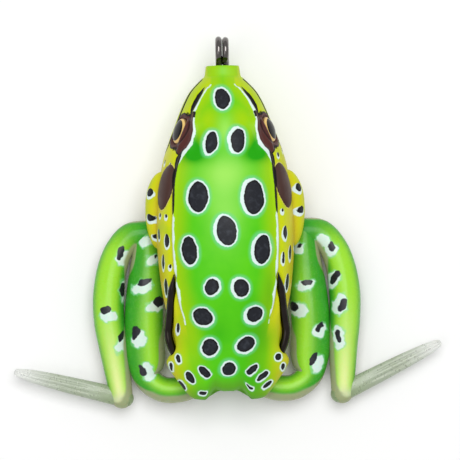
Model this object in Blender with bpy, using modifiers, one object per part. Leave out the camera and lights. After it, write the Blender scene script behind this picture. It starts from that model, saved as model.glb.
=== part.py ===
"""Hollow-body topwater popping frog lure, lying on its belly with its legs folded.

Frame: +Z up through the back, +Y towards the nose, +X to the lure's right.
The origin is the middle of the keel weight's flat bottom, on the surface the lure lies on.
Lengths are metres; MM turns a size given in millimetres into metres.
"""

import math

import bmesh
import bpy
from mathutils import Matrix, Vector

MM = 0.001
GAP = 0.3 * MM                      # clearance left between two pieces that touch
SIDES = {"left": -1.0, "right": 1.0}

# Body skin
WALL = 1.5 * MM
NOSE_Z = 10.0 * MM                  # height of the line tie and of the nose cup's centre
CUP_FRONT_Y = 36.7 * MM
CUP_RIM_R = 3.05 * MM
CUP_BASE_R = 3.4 * MM
CUP_DEPTH = 1.0 * MM
NOSE_BORE_R = 2.6 * MM

# Double hook, bent from one wire
WIRE_R = 0.62 * MM
FORGED_R = 0.75 * MM                # thicker round the bend and up the point
CHANNEL_R = 1.1 * MM                # moulded channel that the wire lies in
EYE_RING_R = 2.0 * MM               # mean radius of the two-turn line-tie eye
EYE_TURN_PITCH = 1.35 * MM
SHANK_X = 1.3 * MM
SHANK_Z = 3.5 * MM
BEND_Y = -10.6 * MM                 # where the straight shank turns into the bend
BEND_R = 6.6 * MM
BEND_TILT = math.radians(45.5)      # each bend leans out from upright by this much

# Keel weight and rattle
KEEL_SIZE = Vector((8.0, 15.0, 5.8)) * MM
KEEL_Y = 0.0
RATTLE_R = 2.4 * MM
RATTLE_BORE_R = 1.8 * MM
RATTLE_LENGTH = 14.0 * MM
RATTLE_Y = 3.0 * MM                 # middle of the capsule
RATTLE_PLUG_LENGTH = 1.8 * MM
BALL_R = 1.45 * MM
BALL_PITCH = 3.0 * MM
BALL_COUNT = 3

# Legs
HIP = Vector((5.6, -20.0, 4.9)) * MM
HIP_BOSS_R = 2.3 * MM
KNEE = Vector((14.2, 6.8, 4.2)) * MM
KNEE_R = 2.4 * MM
ANKLE = {"left": Vector((19.4, -22.9, 3.9)) * MM, "right": Vector((20.7, -22.7, 3.9)) * MM}
PIN_R = 0.7 * MM
PIN_HEAD_R = 1.5 * MM
FOOT_RISE = {"left": math.radians(14.4), "right": math.radians(25.9)}   # forward slant of each foot
ANCHOR_Z = (9.8 * MM, 11.1 * MM)

EYE_RADIUS = 2.5 * MM
EYE_HALF_THICKNESS = 1.1 * MM
EYE_CENTRE = Vector((7.7, 25.1, 13.6)) * MM
EYE_LEAN = math.radians(58.0)       # the eye's axis from straight up, outwards
EYE_YAW = math.radians(20.0)        # and then towards the nose


def mm(*values):
    return Vector(values) * MM


# ---------------------------------------------------------------- scene, materials and helpers

def clear_scene():
    for thing in list(bpy.data.objects):
        bpy.data.objects.remove(thing, do_unlink=True)


def new_collection(name):
    collection = bpy.data.collections.new(name)
    bpy.context.scene.collection.children.link(collection)
    return collection


def new_material(name, colour, roughness, metallic=0.0):
    material = bpy.data.materials.new(name)
    material.use_nodes = True
    surface = material.node_tree.nodes["Principled BSDF"]
    surface.inputs["Base Color"].default_value = (*colour, 1.0)
    surface.inputs["Roughness"].default_value = roughness
    surface.inputs["Metallic"].default_value = metallic
    return material


def add_mesh(name, bm, collection, material=None):
    """A named object from a bmesh, with its faces turned outwards."""
    bmesh.ops.recalc_face_normals(bm, faces=bm.faces)
    mesh = bpy.data.meshes.new(name)
    bm.to_mesh(mesh)
    bm.free()
    mesh.shade_smooth()
    mesh.set_sharp_from_angle(angle=math.radians(40))
    thing = bpy.data.objects.new(name, mesh)
    collection.objects.link(thing)
    if material:
        mesh.materials.append(material)
    return thing


def hide_cutter(thing):
    thing.hide_render = True
    thing.display_type = "WIRE"
    return thing


def boolean(target, other, operation="DIFFERENCE"):
    modifier = target.modifiers.new(operation.lower(), "BOOLEAN")
    modifier.operation = operation
    modifier.solver = "EXACT"
    modifier.object = other


def loft(name, rings, collection, material=None):
    """A closed solid skinned over rings that hold the same number of points."""
    bm = bmesh.new()
    rows = [[bm.verts.new(point) for point in ring] for ring in rings]
    count = len(rows[0])
    for near, far in zip(rows, rows[1:]):
        for k in range(count):
            following = (k + 1) % count
            bm.faces.new((near[k], near[following], far[following], far[k]))
    for end in (rows[0], rows[-1]):
        cap = bm.faces.new(end)
        bmesh.ops.triangulate(bm, faces=[cap])
    return add_mesh(name, bm, collection, material)


def smooth_path(points, per_span):
    """Catmull-Rom points through the given ones; each may hold any number of values."""
    path = []
    last = len(points) - 1
    for k in range(last):
        before, start = points[max(k - 1, 0)], points[k]
        end, after = points[k + 1], points[min(k + 2, last)]
        for step in range(per_span):
            t = step / per_span
            path.append(tuple(
                0.5 * (2 * b + (c - a) * t + (2 * a - 5 * b + 4 * c - d) * t * t
                       + (3 * b - a - 3 * c + d) * t ** 3)
                for a, b, c, d in zip(before, start, end, after)))
    path.append(tuple(points[last]))
    return path


def wire_mesh(name, points, radii, collection, material=None):
    """A round wire along the points, as a welded mesh."""
    curve = bpy.data.curves.new(name, "CURVE")
    curve.dimensions = "3D"
    curve.bevel_depth = 1.0
    curve.bevel_resolution = 2
    curve.use_fill_caps = True
    spline = curve.splines.new("POLY")
    spline.points.add(len(points) - 1)
    for target, point, radius in zip(spline.points, points, radii):
        target.co = (*point, 1.0)
        target.radius = radius
    guide = bpy.data.objects.new(name + "_curve", curve)
    collection.objects.link(guide)
    graph = bpy.context.evaluated_depsgraph_get()
    mesh = bpy.data.meshes.new_from_object(guide.evaluated_get(graph))
    bm = bmesh.new()
    bm.from_mesh(mesh)
    bmesh.ops.remove_doubles(bm, verts=bm.verts, dist=0.001 * MM)
    bpy.data.objects.remove(guide, do_unlink=True)
    return add_mesh(name, bm, collection, material)


def cylinder(name, radius, start, end, collection, material=None, segments=16):
    """A plain cylinder from start to end."""
    axis = end - start
    bm = bmesh.new()
    bmesh.ops.create_cone(bm, cap_ends=True, segments=segments, radius1=radius, radius2=radius,
                          depth=axis.length)
    turn = axis.to_track_quat("Z", "Y").to_matrix().to_4x4()
    bmesh.ops.transform(bm, matrix=Matrix.Translation((start + end) / 2) @ turn, verts=bm.verts)
    return add_mesh(name, bm, collection, material)


def block(name, low, high, collection, material=None):
    """A box between two corners."""
    bm = bmesh.new()
    bmesh.ops.create_cube(bm, size=1.0)
    bmesh.ops.scale(bm, vec=high - low, verts=bm.verts)
    bmesh.ops.translate(bm, vec=(low + high) / 2, verts=bm.verts)
    return add_mesh(name, bm, collection, material)


def turned(name, profile, location, rotation, collection, material):
    """A solid of revolution. profile is (radius, height) from the top, down the outer side."""
    bm = bmesh.new()
    points = [bm.verts.new((radius, 0.0, height)) for radius, height in profile]
    for upper, lower in zip(points, points[1:]):
        bm.edges.new((upper, lower))
    mesh = bpy.data.meshes.new(name)
    bm.to_mesh(mesh)
    bm.free()
    mesh.materials.append(material)
    thing = bpy.data.objects.new(name, mesh)
    collection.objects.link(thing)
    thing.location = location
    thing.rotation_euler = rotation
    screw = thing.modifiers.new("turn", "SCREW")
    screw.steps = screw.render_steps = 16
    screw.use_merge_vertices = True
    screw.merge_threshold = 0.00001
    return thing


# ---------------------------------------------------------------- body skin

# (y, half width, top, height of the widest line, bottom, fullness above, fullness below), all mm
BODY_STATIONS = [
    (34.6, 3.6, 13.6, 10.0, 6.4, 2.0, 2.0),
    (33.1, 5.1, 14.8, 9.8, 5.3, 2.0, 2.0),
    (31.7, 6.3, 15.8, 9.6, 4.4, 2.0, 2.0),
    (29.4, 7.5, 17.0, 9.4, 3.3, 2.0, 2.0),
    (25.9, 8.9, 18.4, 9.3, 2.3, 2.0, 2.0),
    (23.0, 10.0, 19.2, 9.2, 1.9, 2.1, 2.0),
    (19.5, 11.1, 20.0, 9.2, 1.5, 2.1, 2.0),
    (14.0, 12.2, 20.9, 9.3, 1.2, 2.2, 2.0),
    (8.0, 12.6, 21.2, 9.4, 1.1, 2.2, 2.0),
    (2.0, 12.3, 20.8, 9.6, 1.2, 2.2, 2.0),
    (-3.6, 11.7, 19.8, 10.0, 1.9, 2.2, 1.9),
    (-8.0, 10.8, 18.3, 10.5, 3.6, 2.2, 1.8),
    (-11.7, 9.8, 16.8, 11.0, 5.8, 2.2, 1.8),
    (-13.8, 9.4, 15.9, 11.2, 7.2, 2.2, 2.0),
    (-16.4, 10.8, 14.8, 11.2, 7.6, 2.4, 2.2),
    (-19.4, 9.6, 13.7, 10.9, 7.8, 2.6, 2.4),
    (-21.2, 8.6, 12.9, 10.6, 8.0, 2.6, 2.4),
    (-22.4, 7.2, 12.2, 10.4, 8.5, 2.6, 2.4),
    (-23.0, 5.4, 11.6, 10.2, 9.0, 2.6, 2.4),
]
RING_POINTS = 24


def body_ring(station, inset=0.0):
    """One cross-section of the body: a superellipse, fuller or leaner above and below."""
    y, half_width, top, widest, bottom, full_above, full_below = station
    ring = []
    for k in range(RING_POINTS):
        angle = 2 * math.pi * k / RING_POINTS
        across, up = math.cos(angle), math.sin(angle)
        fullness = full_above if up >= 0 else full_below
        reach = (top - widest if up >= 0 else widest - bottom) - inset
        x = (half_width - inset) * math.copysign(abs(across) ** (2 / fullness), across)
        z = widest + reach * math.copysign(abs(up) ** (2 / fullness), up)
        ring.append(mm(x, y, z))
    return ring


def round_ring(y, radius):
    """A circle round the nose axis, matching the body rings point for point."""
    angles = [2 * math.pi * k / RING_POINTS for k in range(RING_POINTS)]
    return [Vector((radius * math.cos(a), y, NOSE_Z + radius * math.sin(a))) for a in angles]


def body_outside(collection):
    """The outer form: the dished nose cup, then the head, back and tail."""
    cup = [
        round_ring(CUP_FRONT_Y - CUP_DEPTH, CUP_RIM_R - 0.8 * MM),
        round_ring(CUP_FRONT_Y, CUP_RIM_R - 0.3 * MM),
        round_ring(CUP_FRONT_Y, CUP_RIM_R),
        round_ring(CUP_FRONT_Y - 2.1 * MM, CUP_BASE_R),
    ]
    trunk = [body_ring(station) for station in smooth_path(BODY_STATIONS, 2)]
    return cup + trunk


def body_cavity(collection):
    """The hollow: the same sections drawn in by the wall, and by more beside the hook points."""
    rings = []
    for station in BODY_STATIONS[2:13]:
        beside_hooks = station[0] < 3.0
        extra = 1.3 if beside_hooks else 0.0
        narrowed = (station[0], station[1] - extra, *station[2:])
        rings.append(body_ring(narrowed, inset=WALL / MM))
    return hide_cutter(loft("cavity", rings, collection))


def forelimb(side, collection):
    """A front leg moulded against the flank."""
    sign = SIDES[side]
    stations = [
        (10.6, 20.0, 11.2, 2.4, 3.0),
        (11.9, 17.0, 10.9, 3.8, 4.4),
        (12.3, 12.5, 10.4, 4.0, 4.6),
        (12.0, 8.0, 10.2, 3.9, 4.2),
        (11.2, 4.0, 10.2, 2.6, 3.0),
    ]
    return hide_cutter(limb(f"{side}_forelimb", stations, sign, collection))


# ---------------------------------------------------------------- hook wire

def hook_side(side):
    """One side of the wire from the neck, down the shank, round the bend and up to the point."""
    sign = SIDES[side]
    shank = [
        (0.95, 35.8, NOSE_Z / MM),
        (0.95, 32.2, 9.8),
        (1.1, 27.5, 8.2),
        (1.25, 21.0, 5.7),
        (SHANK_X / MM, 14.0, 3.9),
        (SHANK_X / MM, 8.0, SHANK_Z / MM),
        (SHANK_X / MM, 0.0, SHANK_Z / MM),
        (SHANK_X / MM, BEND_Y / MM + 1.0, SHANK_Z / MM),
    ]
    out = Vector((math.sin(BEND_TILT), 0.0, math.cos(BEND_TILT)))
    foot = Vector((SHANK_X, BEND_Y, SHANK_Z))
    bend = []
    for k in range(11):
        angle = math.pi * k / 10
        away = BEND_R * (1 - math.cos(angle))
        bend.append(foot + out * away - Vector((0, BEND_R * math.sin(angle), 0)))
    point = [(10.75, -8.5, 13.6), (10.4, -5.5, 14.6), (9.95, -2.8, 15.8), (9.35, -0.2, 17.1)]
    path = [Vector(p) * MM for p in smooth_path(shank, 2)[:-1]]
    path += bend
    end = [tuple(bend[-1] / MM), *point]
    path += [Vector(p) * MM for p in smooth_path(end, 2)[1:]]
    return [Vector((sign * p.x, p.y, p.z)) for p in path]


def eye_turns():
    """The line-tie eye: two turns of the wire side by side, from the right shank to the left one."""
    centre = Vector((0.0, CUP_FRONT_Y + 2.8 * MM, NOSE_Z))
    lead = math.radians(22)
    turns = []
    steps = 32
    for k in range(steps + 1):
        angle = lead + (4 * math.pi - 2 * lead) * k / steps
        x = EYE_TURN_PITCH * (1 - angle / (2 * math.pi))
        turns.append(centre + Vector((x, -EYE_RING_R * math.cos(angle), -EYE_RING_R * math.sin(angle))))
    return turns


def hook_path():
    """The whole wire, from the left point to the right one."""
    right, left = hook_side("right"), hook_side("left")
    enter = Vector((1.15 * MM, CUP_FRONT_Y - 0.2 * MM, NOSE_Z - 0.1 * MM))
    leave = Vector((-1.15 * MM, CUP_FRONT_Y - 0.2 * MM, NOSE_Z + 0.1 * MM))
    return left[::-1] + [leave] + eye_turns()[::-1] + [enter] + right


def hook_radii(path):
    """Drawn wire at the eye and shanks, forged thicker behind them, and sharp at each end."""
    sharp = 3.2 * MM
    forging = 5.0 * MM              # length over which the wire thickens, in front of the bend
    radii = []
    for point in path:
        to_end = min((point - path[0]).length, (point - path[-1]).length)
        forged = max(0.0, min(1.0, (BEND_Y + forging - point.y) / forging))
        if abs(point.x) > 3 * SHANK_X:
            forged = 1.0
        full = WIRE_R + (FORGED_R - WIRE_R) * forged
        radii.append(full * max(0.2, min(1.0, to_end / sharp)))
    return radii


# ---------------------------------------------------------------- legs

def limb(name, stations, sign, collection, material=None, grow=0.0, per_span=2, sides=12):
    """A soft limb with oval sections along (x, y, z, width, thickness) stations, in mm.

    Both ends are rounded off about the first and last station. grow swells it all round, in mm.
    """
    path = smooth_path(stations, per_span)
    centres = [Vector(p[:3]) for p in path]
    widths = [p[3] / 2 + grow for p in path]
    heights = [p[4] / 2 + grow for p in path]
    rings = []

    def ring(centre, along, half_width, half_height):
        across = Vector((along.y, -along.x, 0.0)).normalized()
        turn = [2 * math.pi * k / sides for k in range(sides)]
        points = [centre + across * half_width * math.cos(a) + Vector((0, 0, half_height * math.sin(a)))
                  for a in turn]
        rings.append([Vector((sign * p.x, p.y, p.z)) * MM for p in points])

    def rounded(centre, along, half_width, half_height, shares):
        for share in shares:
            shrink = math.sqrt(1 - share * share)
            ring(centre + along * half_width * share, along, half_width * shrink, half_height * shrink)

    start = (centres[1] - centres[0]).normalized()
    finish = (centres[-1] - centres[-2]).normalized()
    rounded(centres[0], start, widths[0], heights[0], (-0.97, -0.8, -0.45))
    for k, centre in enumerate(centres):
        along = (centres[min(k + 1, len(centres) - 1)] - centres[max(k - 1, 0)]).normalized()
        ring(centre, along, widths[k], heights[k])
    rounded(centres[-1], finish, widths[-1], heights[-1], (0.45, 0.8, 0.97))
    return loft(name, rings, collection, material)


def flat(point):
    return point.x / MM, point.y / MM, point.z / MM


THIGH_STATIONS = [
    (*flat(HIP), 2 * HIP_BOSS_R / MM, 4.6),
    (8.7, -21.0, 4.8, 4.2, 4.5),
    (11.9, -20.9, 4.6, 4.1, 4.5),
    (14.4, -19.0, 4.4, 4.5, 4.6),
    (15.4, -15.4, 4.3, 5.5, 5.2),
    (14.9, -9.0, 4.3, 6.9, 5.6),
    (14.6, -3.0, 4.3, 6.6, 5.5),
    (14.3, 2.4, 4.2, 5.4, 4.8),
    (*flat(KNEE), 2 * KNEE_R / MM, 4.4),
]
UPPER_SHIN = [
    (*flat(KNEE), 2 * KNEE_R / MM, 4.4),
    (17.0, 6.0, 4.2, 4.6, 4.5),
    (18.9, 3.6, 4.2, 4.9, 4.7),
    (20.3, 0.4, 4.2, 5.2, 5.0),
    (21.0, -4.4, 4.2, 5.5, 5.3),
    (21.1, -9.0, 4.2, 5.4, 5.3),
]
# (share of the way from the calf to the ankle, width, thickness), mm
LOWER_SHIN = [(0.25, 5.0, 5.0), (0.6, 4.3, 4.4), (1.0, 3.8, 3.8)]


def shin_stations(side):
    """The shin, which ends at that side's ankle; the two soft legs lie folded a little differently."""
    calf = Vector((20.9, -10.5, 4.2))
    lower = []
    for share, width, thickness in LOWER_SHIN:
        lower.append((*calf.lerp(ANKLE[side] / MM, share), width, thickness))
    return UPPER_SHIN + lower


# (distance from the ankle, width, thickness), mm
FOOT_STATIONS = [
    (0.0, 3.2, 2.6),
    (3.5, 3.0, 2.2),
    (8.5, 2.9, 1.8),
    (13.0, 2.6, 1.5),
    (17.0, 2.1, 1.2),
    (19.7, 1.2, 1.0),
]
HIP_TURN_ROOM = 1.0 * MM            # radius of the hole in the leg root round the hip pin


def foot_stations(side):
    """The long flat foot, running out from the ankle and a little forwards."""
    rise = FOOT_RISE[side]
    ankle = flat(ANKLE[side])
    return [
        (ankle[0] + distance * math.cos(rise), ankle[1] + distance * math.sin(rise), ankle[2], width, thick)
        for distance, width, thick in FOOT_STATIONS
    ]


def leg(side, parts, cutters, soft):
    """Thigh, shin and foot. Each is cut back from the one before it, so that it can swing."""
    sign = SIDES[side]
    thigh = limb(f"{side}_thigh", THIGH_STATIONS, sign, parts, soft)
    shin = limb(f"{side}_shin", shin_stations(side), sign, parts, soft)
    foot = limb(f"{side}_foot", foot_stations(side), sign, parts, soft)
    room = GAP / MM + 0.05
    thigh_room = limb(f"{side}_thigh_room", THIGH_STATIONS, sign, cutters, grow=room)
    shin_room = limb(f"{side}_shin_room", shin_stations(side), sign, cutters, grow=room)
    boolean(shin, hide_cutter(thigh_room))
    boolean(foot, hide_cutter(shin_room))
    hip = Vector((sign * HIP.x, HIP.y, 0.0))
    bore = cylinder(f"{side}_hip_bore", HIP_TURN_ROOM, hip, hip + mm(0, 0, 9.0), cutters)
    boolean(thigh, hide_cutter(bore))


def hip_pin(side, parts, steel):
    """A headed pin that hangs from the anchor plate and carries the leg's root."""
    head_low, head_high = 1.7 * MM, 2.3 * MM
    top = ANCHOR_Z[1] - 0.2 * MM
    profile = [
        (0.0, top), (PIN_R - 0.15 * MM, top), (PIN_R, top - 0.15 * MM), (PIN_R, head_high),
        (PIN_HEAD_R, head_high), (PIN_HEAD_R, head_low + 0.15 * MM),
        (PIN_HEAD_R - 0.3 * MM, head_low), (0.0, head_low),
    ]
    location = Vector((SIDES[side] * HIP.x, HIP.y, 0.0))
    turned(f"{side}_hip_pin", profile, location, (0, 0, 0), parts, steel)


# ---------------------------------------------------------------- small pieces

def keel_weight(parts, cutters, lead, hook_room):
    """A boat-shaped weight with a flat bottom, cast round both shanks."""
    middle = Vector((0.0, KEEL_Y, KEEL_SIZE.z / 2))
    weight = block("keel_weight", middle - KEEL_SIZE / 2, middle + KEEL_SIZE / 2, parts, lead)
    bevel = weight.modifiers.new("cast edges", "BEVEL")
    bevel.width = 1.0 * MM
    bevel.segments = 2
    for cutter in hook_room:
        boolean(weight, cutter)
    half = Vector((KEEL_SIZE.x / 2 + GAP, KEEL_SIZE.y / 2 + GAP, 0.0))
    low = Vector((0.0, KEEL_Y, -4.0 * MM)) - half
    high = Vector((0.0, KEEL_Y, KEEL_SIZE.z + GAP)) + half
    return hide_cutter(block("keel_window", low, high, cutters))


def rattle(parts, plastic, steel):
    """A capsule lying on the weight, with its end plug and loose steel balls."""
    height = KEEL_SIZE.z + GAP + RATTLE_R
    lie_forward = (math.radians(-90), 0, 0)        # turns a piece's +Z to +Y
    half = RATTLE_LENGTH / 2
    closed_end = 0.8 * MM
    tube = [
        (0.0, -half + closed_end), (RATTLE_BORE_R, -half + closed_end), (RATTLE_BORE_R, half),
        (RATTLE_R, half), (RATTLE_R, -half + 0.4 * MM), (RATTLE_R - 0.4 * MM, -half), (0.0, -half),
    ]
    location = Vector((0.0, RATTLE_Y, height))
    turned("rattle_tube", tube, location, lie_forward, parts, plastic)
    plug_r = RATTLE_BORE_R - GAP / 2
    lip = 0.8 * MM
    plug = [
        (0.0, half + GAP + lip), (RATTLE_R - 0.2 * MM, half + GAP + lip), (RATTLE_R, half + GAP + lip / 2),
        (RATTLE_R, half + GAP), (plug_r, half + GAP), (plug_r, half - RATTLE_PLUG_LENGTH),
        (0.0, half - RATTLE_PLUG_LENGTH),
    ]
    turned("rattle_plug", plug, location, lie_forward, parts, plastic)
    first = RATTLE_Y - half + closed_end + BALL_R + 0.2 * MM
    for k in range(BALL_COUNT):
        bm = bmesh.new()
        bmesh.ops.create_uvsphere(bm, u_segments=12, v_segments=8, radius=BALL_R)
        ball = add_mesh(f"rattle_ball_{k + 1}", bm, parts, steel)
        ball.location = (0.0, first + BALL_PITCH * k, height)


def nose_plug(parts, rubber, cutters):
    """The soft plug that seals the neck of the hook into the bottom of the nose cup."""
    face = CUP_FRONT_Y - CUP_DEPTH + 0.3 * MM
    radius = NOSE_BORE_R - GAP
    back = 31.8 * MM
    profile = [
        (0.0, face), (radius - 0.3 * MM, face), (radius, face - 0.3 * MM), (radius, back), (0.0, back),
    ]
    plug = turned("nose_plug", profile, Vector((0, 0, NOSE_Z)), (math.radians(-90), 0, 0), parts, rubber)
    slot = block("neck_slot", mm(-1.8, 29, 8.8), mm(1.8, 38, 10.9), cutters)
    boolean(plug, hide_cutter(slot))


def leg_anchor(parts, cutters, plastic):
    """The plate inside the tail that both hip pins are pressed into."""
    reach = HIP.x + 1.2 * MM
    front, back = HIP.y + 2.4 * MM, HIP.y - 1.0 * MM
    low, high = Vector((-reach, back, ANCHOR_Z[0])), Vector((reach, front, ANCHOR_Z[1]))
    plate = block("leg_anchor", low, high, parts, plastic)
    room = Vector((GAP, GAP, GAP))
    pocket = hide_cutter(block("anchor_pocket", low - room, high + room, cutters))
    pin_holes = []
    for side, sign in SIDES.items():
        hip = Vector((sign * HIP.x, HIP.y, 0.0))
        hole = cylinder(f"{side}_pin_hole", PIN_R + GAP, hip + mm(0, 0, 5), hip + mm(0, 0, 12), cutters)
        boolean(plate, hide_cutter(hole))
        pin_holes.append(cylinder(f"{side}_skin_hole", PIN_R + GAP, hip + mm(0, 0, 5),
                                  hip + Vector((0, 0, ANCHOR_Z[1])), cutters))
        hide_cutter(pin_holes[-1])
    return [pocket, *pin_holes]


def eye_lens(name, side, swell, collection, material=None):
    """A domed eye: a flattened ball on the side of the head."""
    sign = SIDES[side]
    bm = bmesh.new()
    bmesh.ops.create_uvsphere(bm, u_segments=20, v_segments=8, radius=1.0)
    size = Vector((EYE_RADIUS + swell, EYE_RADIUS + swell, EYE_HALF_THICKNESS + swell))
    bmesh.ops.scale(bm, vec=size, verts=bm.verts)
    lean = Matrix.Rotation(sign * EYE_LEAN, 4, "Y")
    yaw = Matrix.Rotation(sign * EYE_YAW, 4, "Z")
    place = Matrix.Translation(Vector((sign * EYE_CENTRE.x, EYE_CENTRE.y, EYE_CENTRE.z)))
    bmesh.ops.transform(bm, matrix=place @ yaw @ lean, verts=bm.verts)
    return add_mesh(name, bm, collection, material)


# ---------------------------------------------------------------- assembly

def build():
    clear_scene()
    parts = new_collection("popping_frog")
    cutters = new_collection("cutters")

    skin = new_material("painted_skin", (0.20, 0.62, 0.03), 0.35)
    leg_skin = new_material("painted_leg", (0.25, 0.65, 0.05), 0.3)
    black_nickel = new_material("black_nickel", (0.05, 0.05, 0.05), 0.25, 1.0)
    lead = new_material("cast_lead", (0.32, 0.33, 0.35), 0.5, 1.0)
    steel = new_material("steel", (0.6, 0.6, 0.6), 0.25, 1.0)
    clear_plastic = new_material("clear_plastic", (0.8, 0.85, 0.85), 0.15)
    grey_plastic = new_material("grey_plastic", (0.15, 0.15, 0.16), 0.5)
    soft_plug = new_material("soft_plug", (0.25, 0.5, 0.08), 0.6)
    eye_gloss = new_material("eye_gloss", (0.6, 0.4, 0.12), 0.1)

    hook_room = []
    for side in SIDES:
        path = [point for point in hook_side(side) if point.y < 11 * MM]
        path.append(path[-1] + (path[-1] - path[-2]).normalized() * 1.2 * MM)
        channel = wire_mesh(f"{side}_channel", path, [CHANNEL_R] * len(path), cutters)
        hook_room.append(hide_cutter(channel))

    wire = hook_path()
    wire_mesh("double_hook", wire, hook_radii(wire), parts, black_nickel)
    window = keel_weight(parts, cutters, lead, hook_room)
    rattle(parts, clear_plastic, steel)
    nose_plug(parts, soft_plug, cutters)
    tail_cuts = leg_anchor(parts, cutters, grey_plastic)

    body = loft("body_shell", body_outside(parts), parts, skin)
    nose_bore = cylinder("nose_bore", NOSE_BORE_R, Vector((0, 28 * MM, NOSE_Z)),
                         Vector((0, CUP_FRONT_Y - CUP_DEPTH + 0.2 * MM, NOSE_Z)), cutters)
    for side in SIDES:
        boolean(body, forelimb(side, cutters), "UNION")
    boolean(body, body_cavity(cutters))
    for cutter in (*hook_room, window, hide_cutter(nose_bore), *tail_cuts):
        boolean(body, cutter)
    for side in SIDES:
        eye_lens(f"{side}_eye", side, 0.0, parts, eye_gloss)
        boolean(body, hide_cutter(eye_lens(f"{side}_eye_socket", side, GAP, cutters)))
        leg(side, parts, cutters, leg_skin)
        hip_pin(side, parts, steel)


build()
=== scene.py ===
"""Hollow-body topwater popping frog, finished and painted, lying on a pale table."""

import math

import bpy
import numpy as np
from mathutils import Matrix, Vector


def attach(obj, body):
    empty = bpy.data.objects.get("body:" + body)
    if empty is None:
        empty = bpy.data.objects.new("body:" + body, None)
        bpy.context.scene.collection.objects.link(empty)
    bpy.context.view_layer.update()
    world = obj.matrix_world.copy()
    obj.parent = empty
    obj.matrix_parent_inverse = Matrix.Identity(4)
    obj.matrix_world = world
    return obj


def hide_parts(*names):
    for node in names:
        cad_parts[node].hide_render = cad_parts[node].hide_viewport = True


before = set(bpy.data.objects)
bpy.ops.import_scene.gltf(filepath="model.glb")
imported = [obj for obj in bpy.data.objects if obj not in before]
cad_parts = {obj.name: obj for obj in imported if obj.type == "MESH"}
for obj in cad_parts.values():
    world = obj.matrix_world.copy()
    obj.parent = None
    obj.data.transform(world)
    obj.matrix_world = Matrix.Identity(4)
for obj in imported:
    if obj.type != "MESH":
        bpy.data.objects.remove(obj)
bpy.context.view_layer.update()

# ---------------------------------------------------------------------------
# Body skin. One hollow moulding in soft vinyl, slush-cast in a two-part mould: a dished nose cup,
# a frog's head and back with a raised fold down each side, forelimbs pressed against the flanks,
# and a tail that ends in two round lobes over the leg sockets.
# ---------------------------------------------------------------------------

MM = 0.001
# The nose cup, from its floor out over the lip and back to the snout: (y, radius), mm
NOSE_CUP = [(35.75, 2.45), (35.78, 2.58), (36.2, 2.66), (36.55, 2.72), (36.72, 2.82), (36.72, 2.94),
            (36.5, 3.04), (36.0, 3.1), (35.4, 3.17), (34.95, 3.27), (34.72, 3.38)]
NOSE_HEIGHT = 10.0
# Body sections: (y, half width, top, height of the widest line, bottom, fullness above, fullness below), mm
TRUNK = [
    (34.6, 3.6, 13.6, 10.0, 6.4, 2.0, 2.0),
    (33.1, 5.15, 14.8, 9.8, 5.3, 2.0, 2.0),
    (31.7, 6.3, 15.8, 9.6, 4.4, 2.0, 2.0),
    (29.4, 7.5, 17.0, 9.4, 3.3, 2.0, 2.0),
    (25.9, 8.9, 18.4, 9.3, 2.3, 2.05, 2.0),
    (23.0, 10.0, 19.2, 9.2, 1.9, 2.1, 2.0),
    (19.5, 11.1, 20.0, 9.2, 1.5, 2.1, 2.0),
    (14.0, 12.2, 20.9, 9.3, 1.2, 2.2, 2.0),
    (8.0, 12.55, 21.1, 9.4, 1.1, 2.2, 2.0),
    (2.0, 12.2, 20.7, 9.6, 1.2, 2.2, 2.0),
    (-3.6, 11.6, 19.7, 10.0, 1.9, 2.2, 1.9),
    (-8.0, 10.7, 18.2, 10.5, 3.6, 2.2, 1.8),
    (-11.4, 10.05, 16.8, 11.0, 5.8, 2.2, 1.8),
    (-13.4, 9.75, 16.1, 11.2, 7.0, 2.2, 2.0),
    (-14.6, 10.15, 15.6, 11.2, 7.4, 2.2, 2.0),
    (-16.3, 11.0, 14.9, 11.2, 7.6, 2.3, 2.2),
    (-18.0, 10.3, 14.3, 11.1, 7.7, 2.4, 2.3),
    (-19.6, 9.2, 13.7, 10.9, 7.8, 2.4, 2.3),
    (-21.4, 7.9, 12.9, 10.6, 8.0, 2.4, 2.3),
    (-22.6, 6.9, 12.2, 10.4, 8.5, 2.4, 2.3),
]
# The tail closes to a blunt edge: (y, half width, half height), mm
TAIL_END = [(-23.05, 6.2, 1.3), (-23.25, 5.2, 1.0), (-23.3, 3.6, 0.7), (-23.3, 1.6, 0.4), (-23.3, 0.3, 0.1)]
TAIL_HEIGHT = 10.3
HALF_RING = 150                     # points from the middle of the back to the middle of the belly
ROWS_A_SPAN = 17                    # rings between two of the body sections
SNOUT_ROOT = 34.65                  # forward of this the cup's rings double back on themselves, mm


def flowing(stations, per_span):
    """Rows of values that flow smoothly through the given stations."""
    given = np.array(stations, float)
    ends = np.vstack([given[:1], given, given[-1:]])
    t = np.linspace(0, 1, per_span, endpoint=False)[:, None]
    spans = [
        0.5 * (2 * b + (c - a) * t + (2 * a - 5 * b + 4 * c - d) * t ** 2 + (3 * b - a - 3 * c + d) * t ** 3)
        for a, b, c, d in zip(ends, ends[1:], ends[2:], ends[3:])
    ]
    return np.vstack([*spans, given[-1:]])


def ease(value, start, end):
    """0 at start, 1 at end, and smooth between."""
    t = np.clip((value - start) / (end - start), 0, 1)
    return t * t * (3 - 2 * t)


def half_section(row):
    """One side of a body section from back to belly, at equal steps: x, z and the run round the skin."""
    _, half_width, top, widest, bottom, above, below = row
    turn = np.linspace(0, math.pi, 721)
    up = np.cos(turn)
    fullness = np.where(up >= 0, above, below)
    reach = np.where(up >= 0, top - widest, widest - bottom)
    x = half_width * np.abs(np.sin(turn)) ** (2 / fullness)
    z = widest + reach * np.sign(up) * np.abs(up) ** (2 / fullness)
    run = np.concatenate([[0], np.cumsum(np.hypot(np.diff(x), np.diff(z)))])
    place = np.linspace(0, run[-1], HALF_RING + 1)
    return np.interp(place, run, x), np.interp(place, run, z), place


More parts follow.
